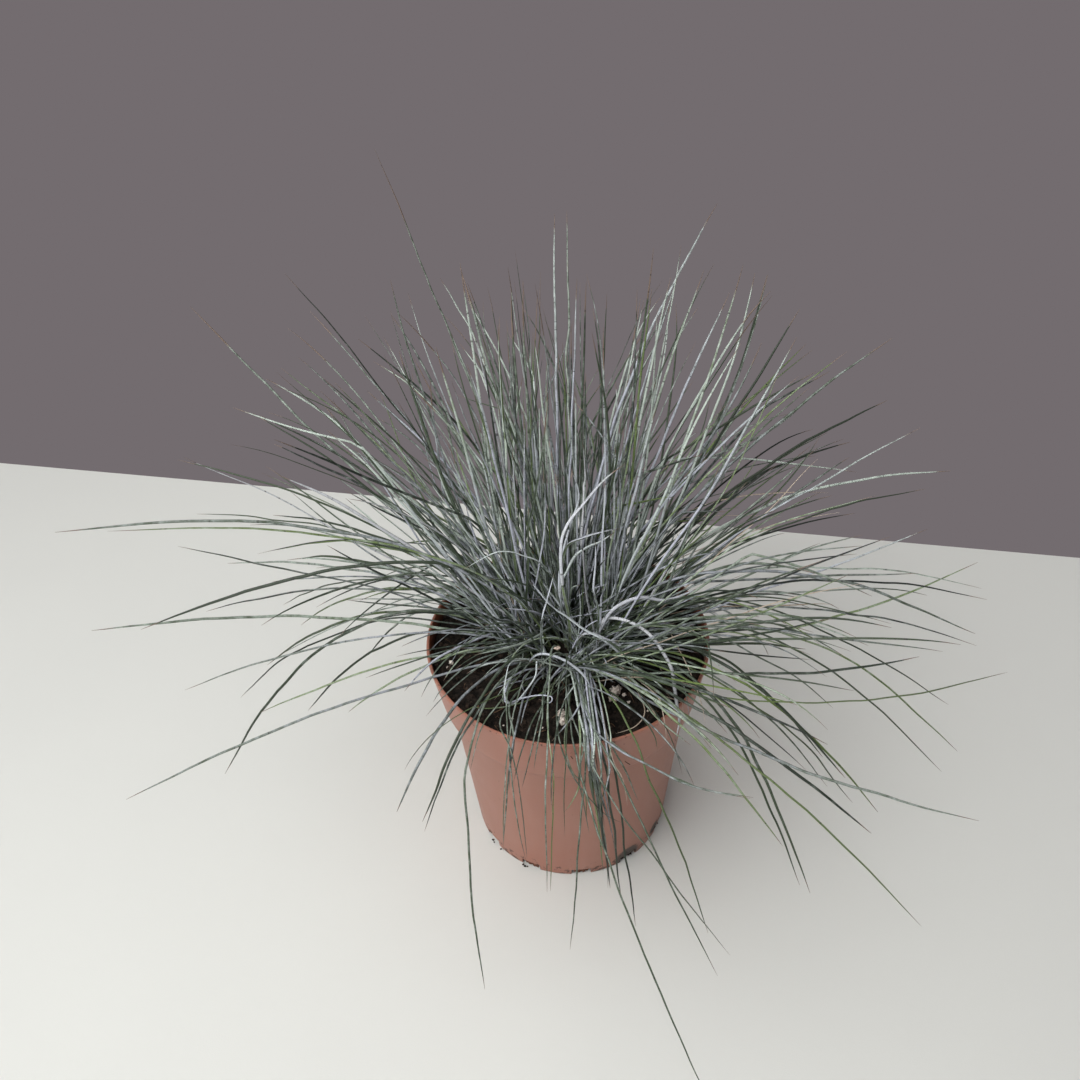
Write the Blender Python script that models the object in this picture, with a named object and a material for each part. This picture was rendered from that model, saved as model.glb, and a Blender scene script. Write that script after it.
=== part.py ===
"""Potted blue fescue: a thin plastic pot, its root ball, the tussock and its long leaves.

Metres, +Z up. The origin is the centre of the pot's underside. Bearings turn anticlockwise from +X,
seen from above, and the front of the plant is at -Y.
"""
from math import cos, pi, radians, sin

import bmesh
import bpy
from mathutils import Matrix, Vector, noise

MM = 0.001
GAP = 0.3 * MM
MERGE = 0.01 * MM
SMOOTH_BELOW = 35

# Pot
POT_HEIGHT = 110 * MM
RIM_RADIUS = 60 * MM
COLLAR_HEIGHT = 25 * MM
COLLAR_FOOT_RADIUS = 56.2 * MM
SHOULDER_RADIUS = 52.4 * MM
BASE_RADIUS = 45 * MM
WALL = 1.3 * MM
FLOOR = 1.8 * MM
EDGE_ROUND = 0.5 * MM
TURN_STEPS = 48
DRAIN_SLOTS = 12
FIRST_SLOT_BEARING = 3
SLOT_WIDTH = 9 * MM
SLOT_HEIGHT = 4 * MM
SLOT_DEPTH = 6 * MM

# Root ball, flat under the tussock and lumpy round it
SOIL_TOP = 104.5 * MM
SOIL_LUMP = 1.6 * MM
LUMP_SIZE = 9 * MM
LUMPY_RINGS = (53 * MM, 47 * MM, 41 * MM)
FLAT_RADIUS = 34 * MM

# Crown of the tussock, half an ellipsoid that sits on the root ball
CROWN_RADIUS = 28 * MM
CROWN_HEIGHT = 20 * MM
CROWN_FACETS = 32
CROWN_BOTTOM = SOIL_TOP + GAP

# Leaves
LEAF_WIDTH = 1.6 * MM
LEAF_TIP = 0.22
LEAF_PIECES = 8
ARCH = 0.5

# Rings of locks: how many, the first facet of the crown and the facet ring that they grow from
# (0 is the topmost), the lean there in degrees, then the reach and height of their tips in millimetres
LOCK_RINGS = (
    (16, 0, 6, 70, 138, 92),
    (16, 1, 4, 52, 142, 165),
    (8, 0, 3, 34, 112, 212),
    (4, 2, 1, 14, 54, 246),
)
LOCK_GIRTH = 4.4 * MM
LOCK_TIP_GIRTH = 0.8 * MM
LOCK_PIECES = 6
FRONT_BEARING = -90
FRONT_SHORTER = 0.16

# Long leaves: bearing and lean at the foot, then bearing, reach and height of the tip
# (degrees and millimetres)
LEFT_LEAVES = (
    (198, 26, 185, 187, 190),
    (221, 22, 196, 159, 211),
    (190, 52, 185, 146, 178),
    (196, 20, 188, 167, 146),
    (177, 75, 187, 186, 146),
    (209, 45, 197, 153, 134),
    (174, 60, 182, 162, 34),
    (202, 80, 200, 186, 94),
    (199, 67, 195, 130, 107),
    (220, 60, 226, 100, 90),
    (233, 40, 233, 98, 92),
)
BACK_LEAVES = (
    (166, 45, 169, 156, 188),
    (158, 50, 157, 155, 239),
    (150, 30, 146, 128, 246),
    (139, 18, 132, 96, 293),
    (163, 32, 163, 124, 203),
    (110, 18, 110, 151, 208),
    (123, 20, 117, 81, 245),
    (97, 14, 89, 80, 262),
    (106, 33, 101, 63, 243),
    (81, 10, 81, 55, 247),
    (72, 34, 74, 79, 229),
    (64, 33, 65, 89, 223),
    (59, 12, 56, 124, 254),
)
RIGHT_LEAVES = (
    (51, 22, 52, 80, 244),
    (34, 51, 38, 107, 239),
    (41, 30, 44, 98, 231),
    (30, 40, 30, 111, 229),
    (22, 32, 21, 122, 216),
    (16, 31, 16, 133, 225),
    (10, 50, 10, 144, 191),
    (24, 49, 12, 167, 162),
    (-3, 68, -2, 141, 164),
    (-13, 80, -6, 159, 156),
    (-7, 32, -9, 163, 126),
)
CORNER_LEAVES = (
    (-41, 82, -15, 173, 124),
    (-28, 82, -29, 137, 158),
    (-18, 34, -18, 154, 110),
    (-13, 52, -13, 167, 68),
    (-18, 46, -23, 157, 86),
    (-52, 82, -43, 174, 136),
    (-49, 77, -41, 168, 58),
    (-48, 70, -40, 141, 90),
    (-29, 51, -30, 123, 85),
    (-61, 54, -50, 118, 84),
    (-38, 54, -45, 128, 51),
)
FRONT_LEAVES = (
    (-83, 82, -63, 123, 141),
    (229, 56, 250, 116, 22),
    (-84, 55, -93, 94, 22),
    (-92, 76, -75, 170, 30),
    (-88, 56, -69, 134, 56),
    (-94, 68, -66, 131, 60),
    (-105, 31, -98, 94, 64),
    (-127, 51, -102, 97, 88),
    (-117, 52, -107, 97, 92),
)
LEAF_GROUPS = {
    "left": LEFT_LEAVES,
    "back": BACK_LEAVES,
    "right": RIGHT_LEAVES,
    "corner": CORNER_LEAVES,
    "front": FRONT_LEAVES,
}

# Colour and roughness of each material
POT_PLASTIC = ((0.36, 0.19, 0.13), 0.5)
PEAT = ((0.035, 0.026, 0.02), 0.95)
BLUE_GREEN_LEAF = ((0.20, 0.27, 0.23), 0.6)


def clear_scene():
    for old in list(bpy.data.objects):
        bpy.data.objects.remove(old, do_unlink=True)


def material(name, colour, roughness):
    made = bpy.data.materials.new(name)
    made.use_nodes = True
    shader = made.node_tree.nodes["Principled BSDF"]
    shader.inputs["Base Color"].default_value = (*colour, 1)
    shader.inputs["Roughness"].default_value = roughness
    shader.inputs["Metallic"].default_value = 0
    return made


def add_object(name, data, finish):
    data.materials.append(finish)
    made = bpy.data.objects.new(name, data)
    bpy.context.collection.objects.link(made)
    return made


def finish_mesh(name, bm, finish):
    bmesh.ops.recalc_face_normals(bm, faces=bm.faces)
    mesh = bpy.data.meshes.new(name)
    bm.to_mesh(mesh)
    bm.free()
    mesh.shade_smooth()
    mesh.set_sharp_from_angle(angle=radians(SMOOTH_BELOW))
    return add_object(name, mesh, finish)


def around(bearing, reach, height):
    """The point at a bearing in degrees, a distance from the pot's axis and a height."""
    return Vector((reach * cos(radians(bearing)), reach * sin(radians(bearing)), height))


def turned(profile, steps):
    """A solid turned about Z from (radius, height) points that start and end on the axis."""
    bm = bmesh.new()
    points = [bm.verts.new((radius, 0, height)) for radius, height in profile]
    edges = [bm.edges.new(pair) for pair in zip(points, points[1:])]
    bmesh.ops.spin(
        bm, geom=points + edges, axis=(0, 0, 1), cent=(0, 0, 0), steps=steps, angle=2 * pi, use_merge=True
    )
    bmesh.ops.remove_doubles(bm, verts=bm.verts, dist=MERGE)
    return bm


def pot_wall(inset):
    """The pot's inner side, top to bottom, moved inwards by inset."""
    shelf = POT_HEIGHT - COLLAR_HEIGHT
    return (
        (RIM_RADIUS - WALL - inset, POT_HEIGHT),
        (COLLAR_FOOT_RADIUS - WALL - inset, shelf + WALL + inset),
        (SHOULDER_RADIUS - WALL - inset, shelf + inset),
        (BASE_RADIUS - WALL - inset, FLOOR + inset),
    )


def make_pot(finish):
    shelf = POT_HEIGHT - COLLAR_HEIGHT
    inner_top, collar_foot, shoulder, corner = pot_wall(0)
    profile = [
        (0, FLOOR),
        corner,
        shoulder,
        collar_foot,
        (inner_top[0], POT_HEIGHT - EDGE_ROUND),
        (inner_top[0] + EDGE_ROUND, POT_HEIGHT),
        (RIM_RADIUS - EDGE_ROUND, POT_HEIGHT),
        (RIM_RADIUS, POT_HEIGHT - EDGE_ROUND),
        (COLLAR_FOOT_RADIUS, shelf),
        (SHOULDER_RADIUS, shelf - WALL),
        (BASE_RADIUS, EDGE_ROUND),
        (BASE_RADIUS - EDGE_ROUND, 0),
        (0, 0),
    ]
    pot = finish_mesh("pot", turned(profile, TURN_STEPS), finish)
    cutter = make_slot_cutter()
    cut = pot.modifiers.new("drain slots", "BOOLEAN")
    cut.operation = "DIFFERENCE"
    cut.object = cutter
    return pot


def make_slot_cutter():
    """Blocks across the base corner, which leave a row of drain slots there."""
    bm = bmesh.new()
    for slot in range(DRAIN_SLOTS):
        block = bmesh.ops.create_cube(bm, size=1)["verts"]
        bmesh.ops.scale(bm, verts=block, vec=(SLOT_DEPTH, SLOT_WIDTH, SLOT_HEIGHT * 2))
        bmesh.ops.translate(bm, verts=block, vec=(BASE_RADIUS, 0, 0))
        turn = Matrix.Rotation(radians(FIRST_SLOT_BEARING + slot * 360 / DRAIN_SLOTS), 3, "Z")
        bmesh.ops.rotate(bm, verts=block, cent=(0, 0, 0), matrix=turn)
    mesh = bpy.data.meshes.new("slot cutter")
    bm.to_mesh(mesh)
    bm.free()
    cutter = bpy.data.objects.new("slot_cutter", mesh)
    bpy.context.collection.objects.link(cutter)
    cutter.hide_render = True
    cutter.display_type = "WIRE"
    return cutter


def make_soil(finish):
    """The peat that fills the pot, a gap clear of its wall."""
    inner_top, collar_foot, shoulder, corner = pot_wall(GAP)
    down = (inner_top[1] - SOIL_TOP) / (inner_top[1] - collar_foot[1])
    edge_radius = inner_top[0] + (collar_foot[0] - inner_top[0]) * down
    profile = [(0, corner[1]), corner, shoulder, collar_foot, (edge_radius, SOIL_TOP)]
    profile += [(radius, SOIL_TOP) for radius in (*LUMPY_RINGS, FLAT_RADIUS, 0)]
    bm = turned(profile, TURN_STEPS)
    for vert in bm.verts:
        radius = vert.co.xy.length
        if vert.co.z > SOIL_TOP - GAP and FLAT_RADIUS + MM < radius < edge_radius - MM:
            vert.co.z += SOIL_LUMP * noise.noise(vert.co / LUMP_SIZE)
    return finish_mesh("soil", bm, finish)


def on_crown(bearing, lean):
    """The point of the crown where its surface faces along a lean from upright, and that direction."""
    facing = around(bearing, sin(radians(lean)), cos(radians(lean)))
    radii = Vector((CROWN_RADIUS, CROWN_RADIUS, CROWN_HEIGHT))
    stretched = radii * facing
    point = radii * stretched / stretched.length
    return point + Vector((0, 0, CROWN_BOTTOM)), facing


def arch_point(foot, knee, tip, share):
    return foot * (1 - share) ** 2 + knee * 2 * share * (1 - share) + tip * share**2


def corner_sides(facet, centre, across, over):
    """Which side of the facet's centre each of its corners lies on, across the lock and over it."""
    return [
        (1 if (vert.co - centre).dot(across) > 0 else -1, 1 if (vert.co - centre).dot(over) > 0 else -1)
        for vert in facet.verts
    ]


def grow_lock(bm, facet, lean, tip):
    """Draw a facet of the crown out along an arch, and taper it to a point."""
    foot = facet.calc_center_median()
    outward = Vector((foot.x, foot.y, 0)).normalized()
    across = Vector((-outward.y, outward.x, 0))
    start = outward * sin(radians(lean)) + Vector((0, 0, cos(radians(lean))))
    knee = foot + start * (tip - foot).length * ARCH
    centre = foot
    along = facet.normal.copy()
    for piece in range(1, LOCK_PIECES + 1):
        share = piece / LOCK_PIECES
        sides = corner_sides(facet, centre, across, across.cross(along))
        centre = arch_point(foot, knee, tip, share)
        along = ((knee - foot) * (1 - share) + (tip - knee) * share).normalized()
        over = across.cross(along)
        half = 0.5 * (LOCK_GIRTH + (LOCK_TIP_GIRTH - LOCK_GIRTH) * share)
        facet = bmesh.ops.extrude_discrete_faces(bm, faces=[facet])["faces"][0]
        for vert, (left, above) in zip(facet.verts, sides):
            vert.co = centre + (across * left + over * above) * half


def make_tussock(finish):
    """The crown of the grass with the bulk of its leaves as pointed locks, grown as one piece."""
    bm = bmesh.new()
    rings = CROWN_FACETS // 2
    bmesh.ops.create_uvsphere(bm, u_segments=CROWN_FACETS, v_segments=rings, radius=1)
    below = [vert for vert in bm.verts if vert.co.z < -MERGE]
    bmesh.ops.delete(bm, geom=below, context="VERTS")
    bmesh.ops.holes_fill(bm, edges=bm.edges)
    bmesh.ops.scale(bm, verts=bm.verts, vec=(CROWN_RADIUS, CROWN_RADIUS, CROWN_HEIGHT))
    bmesh.ops.translate(bm, verts=bm.verts, vec=(0, 0, CROWN_BOTTOM))
    bmesh.ops.recalc_face_normals(bm, faces=bm.faces)
    step = 360 / CROWN_FACETS
    locks = []
    for count, first, ring, lean, reach, height in LOCK_RINGS:
        for lock in range(count):
            bearing = (first + lock * CROWN_FACETS / count + 0.5) * step
            turn = radians((ring + 0.5) * step)
            wanted = around(bearing, CROWN_RADIUS * sin(turn), CROWN_BOTTOM + CROWN_HEIGHT * cos(turn))
            facet = min(bm.faces, key=lambda face: (face.calc_center_median() - wanted).length)
            shorter = 1 - FRONT_SHORTER * (1 + cos(radians(bearing - FRONT_BEARING)))
            locks.append((facet, lean, around(bearing, reach * MM * shorter, height * MM)))
    for facet, lean, tip in locks:
        grow_lock(bm, facet, lean, tip)
    return finish_mesh("tussock", bm, finish)


def make_leaf(name, shape, finish):
    """One long leaf, a curve with a round edge that tapers from its foot on the crown to its tip."""
    bearing, lean, tip_bearing, reach, height = shape
    foot, start = on_crown(bearing, lean)
    foot += start * GAP
    tip = around(tip_bearing, reach * MM, height * MM)
    knee = foot + start * (tip - foot).length * ARCH
    curve = bpy.data.curves.new(name, "CURVE")
    curve.dimensions = "3D"
    curve.bevel_depth = LEAF_WIDTH / 2
    curve.bevel_resolution = 0
    curve.use_fill_caps = True
    spline = curve.splines.new("POLY")
    spline.points.add(LEAF_PIECES)
    for piece, point in enumerate(spline.points):
        share = piece / LEAF_PIECES
        point.co = (*arch_point(foot, knee, tip, share), 1)
        point.radius = 1 - (1 - LEAF_TIP) * share
    return add_object(name, curve, finish)


def main():
    clear_scene()
    leaf_finish = material("blue-green leaf", *BLUE_GREEN_LEAF)
    make_pot(material("pot plastic", *POT_PLASTIC))
    make_soil(material("peat", *PEAT))
    make_tussock(leaf_finish)
    for side, shapes in LEAF_GROUPS.items():
        for number, shape in enumerate(shapes, 1):
            make_leaf(f"leaf_{side}_{number:02d}", shape, leaf_finish)


main()
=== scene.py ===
# %% [markdown]
# # Potted blue fescue
# Blue fescue is a small tufted grass. Its leaves are folded lengthwise so tightly that each looks like
# a needle about a millimetre thick, and a thin wax makes their green look silvery blue. This clump
# grows in a thin plastic nursery pot filled with dark peat.
#
# The solid model already holds the pot, the peat, the tussock as a few thick locks, and the long
# leaves that stand out of it. It is loaded first and stays where it is. Every piece made below is the
# fine version of one of those solids, in the same place, or small stuff that lies on them.

# %% Load the solid model
import random
from math import cos, pi, radians, sin, tau

import bmesh
import bpy
from mathutils import Matrix, Vector, noise


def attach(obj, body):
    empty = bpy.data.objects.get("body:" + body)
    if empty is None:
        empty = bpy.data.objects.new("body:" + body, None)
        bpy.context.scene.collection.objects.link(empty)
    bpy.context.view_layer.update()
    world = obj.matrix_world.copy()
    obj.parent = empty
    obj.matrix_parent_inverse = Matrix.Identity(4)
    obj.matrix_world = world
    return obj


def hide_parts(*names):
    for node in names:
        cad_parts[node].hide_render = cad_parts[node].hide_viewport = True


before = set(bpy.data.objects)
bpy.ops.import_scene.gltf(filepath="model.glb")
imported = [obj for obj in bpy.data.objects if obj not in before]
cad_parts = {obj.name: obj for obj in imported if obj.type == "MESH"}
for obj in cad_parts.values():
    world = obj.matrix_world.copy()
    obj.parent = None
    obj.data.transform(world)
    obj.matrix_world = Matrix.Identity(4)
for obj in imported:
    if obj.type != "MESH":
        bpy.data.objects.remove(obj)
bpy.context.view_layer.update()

MM = 0.001
UP = Vector((0, 0, 1))


# %% [markdown]
# ## Camera
# The plant stands on a table and is seen from above its front, from about half a metre away. A real
# camera is a point, three angles and a focal length, and so is this one. It looks along +Y and down,
# and it is rolled a little, as a camera held by hand is.

# %% Place the camera
CAMERA_PLACE = Vector((-9.9, -314.8, 423.6)) * MM
CAMERA_DOWN = 39.63
CAMERA_ROLL = -2.493
LENS_MM = 34.67


def add_object(name, data):
    """An object with this data, in the scene."""
    made = bpy.data.objects.new(name, data)
    bpy.context.collection.objects.link(made)
    return made


lens = bpy.data.cameras.new("camera")
lens.lens = LENS_MM
lens.clip_start = 0.01
camera = add_object("camera", lens)
camera.matrix_world = (
    Matrix.Translation(CAMERA_PLACE)
    @ Matrix.Rotation(radians(90 - CAMERA_DOWN), 4, "X")
    @ Matrix.Rotation(radians(CAMERA_ROLL), 4, "Z")
)
bpy.context.scene.camera = camera
print("camera at", [round(value, 3) for value in CAMERA_PLACE])


# %% [markdown]
# ## Wires
# A material or a Geometry Nodes tree is a net of nodes, and typing every node and link by hand soon
# hides what it works out. A `Wire` is one output of a node. Adding or multiplying wires in Python adds
# the Math nodes for it, so a formula reads as a formula, and one method makes every other kind of node.

# %% Wire, one output of a node
class Wire:
    def __init__(self, tree, socket=None):
        self.tree = tree
        self.socket = socket

    def node(self, kind, sockets=None, out=0, stops=None, **settings):
        """Any node: its settings first, then the values or wires of its sockets."""
        made = self.tree.nodes.new(kind)
        for name, setting in settings.items():
            setattr(made, name, setting)
        if stops:
            ramp = made.color_ramp.elements
            while len(ramp) < len(stops):
                ramp.new(0.5)
            for stop, (place, colour) in zip(ramp, stops):
                stop.position = place
                stop.color = colour
        for key, value in (sockets or {}).items():
            connect(value, made.inputs[key])
        return Wire(self.tree, made.outputs[out])

    def maths(self, operation, *values):
        return self.node("ShaderNodeMath", dict(enumerate(values)), operation=operation)

    def vector(self, operation, *values, out=0):
        return self.node("ShaderNodeVectorMath", dict(enumerate(values)), out, operation=operation)

    def scaled(self, factor):
        """A vector, so many times as long."""
        return self.node("ShaderNodeVectorMath", {0: self, "Scale": factor}, operation="SCALE")

    def part(self, axis):
        """The X, Y or Z of a vector."""
        return self.node("ShaderNodeSeparateXYZ", {0: self}, axis)

    def joined(self, *parts):
        """The vector with these parts, in the order X, Y, Z."""
        return self.node("ShaderNodeCombineXYZ", dict(enumerate(parts)))

    def mix(self, share, first, second, kind="RGBA"):
        """Two colours or vectors, blended by a share from 0, the first, to 1, the second."""
        slot = {"VECTOR": 4, "RGBA": 6}[kind]
        result = {"VECTOR": 1, "RGBA": 2}[kind]
        sockets = {0: share, slot: first, slot + 1: second}
        return self.node("ShaderNodeMix", sockets, result, data_type=kind, clamp_factor=False)

    def step(self, low, high):
        """0 below low and 1 above high, with a smooth change between them."""
        sockets = {"Value": self, "From Min": low, "From Max": high}
        return self.node("ShaderNodeMapRange", sockets, interpolation_type="SMOOTHSTEP")

    def __add__(self, other):
        return self.maths("ADD", self, other)

    def __sub__(self, other):
        return self.maths("SUBTRACT", self, other)

    def __rsub__(self, other):
        return self.maths("SUBTRACT", other, self)

    def __mul__(self, other):
        return self.maths("MULTIPLY", self, other)

    def __truediv__(self, other):
        return self.maths("DIVIDE", self, other)

    def __pow__(self, other):
        return self.maths("POWER", self, other)

    __radd__ = __add__
    __rmul__ = __mul__


def connect(value, socket):
    """Lead a wire to a socket, or set the socket to a plain value."""
    if isinstance(value, Wire):
        value.tree.links.new(value.socket, socket)
    else:
        socket.default_value = value


def rgb(red, green, blue):
    """A colour socket's value."""
    return (red, green, blue, 1)


print("wires can", ", ".join(name for name in vars(Wire) if not name.startswith("_")))


# %% [markdown]
# ## Materials
# Each finish is a small net that ends in the Principled shader. What changes over the surface, such as
# bloom, dust and grain, is worked out from the piece's own coordinates in metres, so the grain keeps
# its real size and stays put. An image would need a flat layout for each of a thousand leaves.

# %% Start a material and fill its sockets
def start_material(name):
    """A new material, its shader and a wire with its object coordinates."""
    made = bpy.data.materials.new(name)
    made.use_nodes = True
    tree = made.node_tree
    shader = tree.nodes["Principled BSDF"]
    place = Wire(tree).node("ShaderNodeTexCoord", out="Object")
    return made, shader, place


def plug(shader, **values):
    """Wires or plain values for the shader's sockets, whose names have spaces for underscores."""
    for name, value in values.items():
        connect(value, shader.inputs[name.replace("_", " ")])


def attribute(wire, name):
    """A number that the mesh keeps under this name."""
    return wire.node("ShaderNodeAttribute", out="Fac", attribute_name=name)


def grain(place, scale, detail=3.0, rough=0.55):
    """A cloudy pattern from 0 to 1, with scale lumps in each metre."""
    sockets = {"Vector": place, "Scale": scale, "Detail": detail, "Roughness": rough}
    return place.node("ShaderNodeTexNoise", sockets)


def bumped(height, distance, strength=1.0):
    """A surface normal roughened by height, in which 1 stands distance proud."""
    return height.node("ShaderNodeBump", {"Height": height, "Distance": distance, "Strength": strength})


print("lengths are in metres, so a millimetre is", MM)


# %% [markdown]
# ### Leaf
# A fescue leaf is a dull mid green under a bluish-white wax. The wax is thick on the back of the fold
# and rubbed off in patches, so a leaf is silvery in one place and green in the next. In the groove of
# the fold the wax is cut back, which paints the groove darker: painted shade. Its foot is yellowish and
# painted darker still, partly its own colour and partly painted shade among the crowded leaf bases. Its
# last few millimetres are brown, and tiny dark specks dot it. The leaves carry their own numbers for
# this as attributes: `along` runs from foot to tip, `groove` is 1 inside the fold, and `tint` differs
# from leaf to leaf. The tint says how waxy a leaf is, and fractions of its multiples say how fresh its
# green and how lilac its wax, so one material serves all leaves.

# %% Leaf material
DEEP_GREEN = rgb(0.014, 0.020, 0.017)
GREEN = rgb(0.064, 0.088, 0.054)
FRESH_GREEN = rgb(0.16, 0.23, 0.07)
GREENS = ((0.0, DEEP_GREEN), (0.5, GREEN), (0.8, GREEN), (1.0, FRESH_GREEN))
BLOOM = rgb(0.51, 0.59, 0.53)
LILAC_BLOOM = rgb(0.505, 0.53, 0.615)
PALE_BLOOM = rgb(0.545, 0.565, 0.595)
# the foot's own yellowish green, darkened as painted shade among the crowded leaf bases
SHADED_FOOT_YELLOW = rgb(0.13, 0.145, 0.065)
TIP_BROWN = rgb(0.19, 0.14, 0.11)
SPECK = rgb(0.018, 0.016, 0.015)
HEART_PLACE = (0, 0, 0.12)
MOST_WAX_TINT = 0.85
HUE_TURNS, LILAC_TURNS, DRY_TURNS = 7.3, 3.9, 11.3
PATCHES, STREAKS, BARS, SPECKS = 260, 1500, 700, 2300


def leaf_material():
    made, shader, place = start_material("leaf")
    tint, along, groove = (attribute(place, name) for name in ("tint", "along", "groove"))
    patches = grain(place, PATCHES, 2.0)
    streaks = grain(place, STREAKS, 2.0)
    afar = place.vector("DISTANCE", place, HEART_PLACE, out=1).step(0.04, 0.15)
    hue = tint.maths("FRACT", tint * HUE_TURNS) + 0.04 - afar * 0.12
    green = place.node("ShaderNodeValToRGB", {0: hue}, stops=GREENS)
    lilac = (tint.maths("FRACT", tint * LILAC_TURNS) - afar * 0.5).step(0.2, 0.8)
    bloom = place.mix(tint.step(0.93, 0.97), place.mix(lilac, BLOOM, LILAC_BLOOM), PALE_BLOOM)
    waxy = tint.maths("MINIMUM", tint, MOST_WAX_TINT) * 1.15
    # painted shade: less wax inside the fold darkens the groove
    wax = waxy + patches * 0.9 + streaks * 0.35 - groove * 0.6 - afar * 0.18 - 0.86
    wax = wax.step(-0.1, 0.8)
    colour = place.mix(wax, green, bloom)
    # the yellowish foot, darkened as painted shade among the leaf bases
    colour = place.mix((1 - along.step(0.02, 0.16)) * 0.6, colour, SHADED_FOOT_YELLOW)
    dried = tint.maths("FRACT", tint * DRY_TURNS).step(0.5, 1.0) * place.part("Z").step(0.17, 0.22)
    brown = (along + patches * 0.06 - (0.98 - dried * 0.1)).step(0.0, 0.025)
    colour = place.mix(brown, colour, TIP_BROWN)
    lengthwise = place.joined(along * 110, tint * 60)
    bars = grain(lengthwise, 1.0, 2.0).step(0.60, 0.66) * grain(place, BARS, 1.0).step(0.40, 0.55)
    specks = grain(place, SPECKS, 1.0).step(0.68, 0.72)
    colour = place.mix(bars.maths("MAXIMUM", bars * 0.7, specks * 0.85), colour, SPECK)
    relief = bumped(streaks, 0.05 * MM, 0.6)
    plug(shader, Base_Color=colour, Roughness=wax * 0.25 + 0.40, Normal=relief, Specular_IOR_Level=0.3)
    return made


LEAF = leaf_material()
print("leaf finish:", len(LEAF.node_tree.nodes), "nodes")


# %% [markdown]
# ### Dry leaf
# The oldest leaves die from the tip and stay in the clump as tan or pinkish straws, thinner than the
# live ones. They have the same grain without any wax.

# %% Dry leaf material
STRAW = rgb(0.38, 0.30, 0.22)
PALE_STRAW = rgb(0.60, 0.51, 0.42)
STRAW_DARK = rgb(0.13, 0.085, 0.06)


def dry_leaf_material():
    made, shader, place = start_material("dry leaf")
    streaks = grain(place, 900, 3.0)
    colour = place.mix(attribute(place, "tint"), STRAW, PALE_STRAW)
    colour = place.mix(streaks.step(0.5, 0.75) * 0.7, colour, STRAW_DARK)
    plug(shader, Base_Color=colour, Normal=bumped(streaks, 0.08 * MM), Roughness=0.7)
    return made


DRY_LEAF = dry_leaf_material()
print("dry leaf finish:", len(DRY_LEAF.node_tree.nodes), "nodes")


# %% [markdown]
# ### Pot plastic
# The pot is moulded in a dull terracotta colour. Handling and watering leave it dusty: a pale film in
# clouds and faint runs down the wall, peat dust under the rim and near the foot, and small scuffs. The
# top of the lip is painted a deeper orange, a painted glow of light through the thin plastic. Over two
# of the drain slots the wall is painted nearly black, a painted shadow of the slot openings. Each of
# these is a mask made from noise and height and laid over the clean colour, so each can be changed
# alone.

# %% Pot material
POT_CLAY = rgb(0.37, 0.155, 0.108)
POT_FILM = rgb(0.42, 0.225, 0.175)
# painted glow: a deeper orange on the top of the lip, for light through the thin plastic
POT_LIP_GLOW = rgb(0.33, 0.135, 0.09)
PEAT_STAIN = rgb(0.055, 0.035, 0.027)
# painted shadow: nearly black over two drain slots, standing for their shaded openings
SLOT_SHADOW = rgb(0.028, 0.024, 0.017)
SLOT_SHADOW_SPOTS_MM = (((24.0, -38.4, 4.0), 7.2), ((37.4, -25.6, 6.5), 4.6))


def pot_material():
    made, shader, place = start_material("pot plastic")
    height = place.part("Z")
    runs = grain(place.vector("MULTIPLY", place, (1, 1, 0.06)), 90, 4.0)
    clouds = grain(place, 35, 4.0)
    film = (runs * 0.5 + clouds * 0.6).step(0.42, 0.72)
    colour = place.mix(film * 0.75, POT_CLAY, POT_FILM)
    dust = grain(place, 420, 5.0, 0.7)
    low = 1 - height.step(0.0, 16 * MM)
    high = height.step(100 * MM, 109 * MM)
    # painted glow of light through the thin plastic, on the top of the lip
    colour = place.mix(height.step(109.5 * MM, 109.95 * MM) * 0.8, colour, POT_LIP_GLOW)
    dirt = (dust + low * 0.16 + high * 0.07).step(0.66, 0.74) * 0.8
    colour = place.mix(dirt, colour, PEAT_STAIN)
    # painted shadow of the two slot openings
    for spot, reach in SLOT_SHADOW_SPOTS_MM:
        away = place.vector("DISTANCE", place, Vector(spot) * MM, out=1) + dust * 3 * MM
        darkened = 1 - away.step((reach - 0.6) * MM, (reach + 1.6) * MM)
        colour = place.mix(darkened * 0.92, colour, SLOT_SHADOW)
    rough = film * 0.18 + 0.42 + dirt * 0.2
    peel = grain(place, 900, 2.0) * 0.5 + runs * 0.5
    plug(shader, Base_Color=colour, Roughness=rough, Normal=bumped(peel, 0.12 * MM, 0.5))
    return made


POT = pot_material()
print("pot finish:", len(POT.node_tree.nodes), "nodes")


# %% [markdown]
# ### The pot's inside
# The inner wall has seen no handling, so it is cleaner. It is painted redder than the outside, a
# painted glow of light through the thin plastic, and the damp peat has stained it. It is a second
# material on the same mesh, which keeps the pot one piece.

# %% Material of the pot's inner wall
# painted glow: the inner wall is redder than the outside, for light through the thin plastic
POT_INSIDE_GLOW = rgb(0.42, 0.14, 0.075)


def pot_inside_glow_material():
    made, shader, place = start_material("pot inside glow")
    dust = grain(place, 420, 5.0, 0.7)
    wet = 1 - (place.part("Z") + dust * 4 * MM).step(107 * MM, 110 * MM)
    # the redder inner wall is a painted glow; the darker parts are peat stain
    colour = place.mix((wet + dust.step(0.6, 0.7)) * 0.7, POT_INSIDE_GLOW, PEAT_STAIN)
    plug(shader, Base_Color=colour, Roughness=wet * -0.1 + 0.5, Normal=bumped(dust, 0.1 * MM, 0.5))
    return made


POT_INNER_WALL = pot_inside_glow_material()
print("inner wall finish:", len(POT_INNER_WALL.node_tree.nodes), "nodes")


# %% [markdown]
# ### Peat, grit and husk
# Peat is nearly black when damp, with brown crumbs that dried first. Light grit lies on it, and a seed
# husk above it. All are rough and waver between two colours, so one function makes them all.

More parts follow.
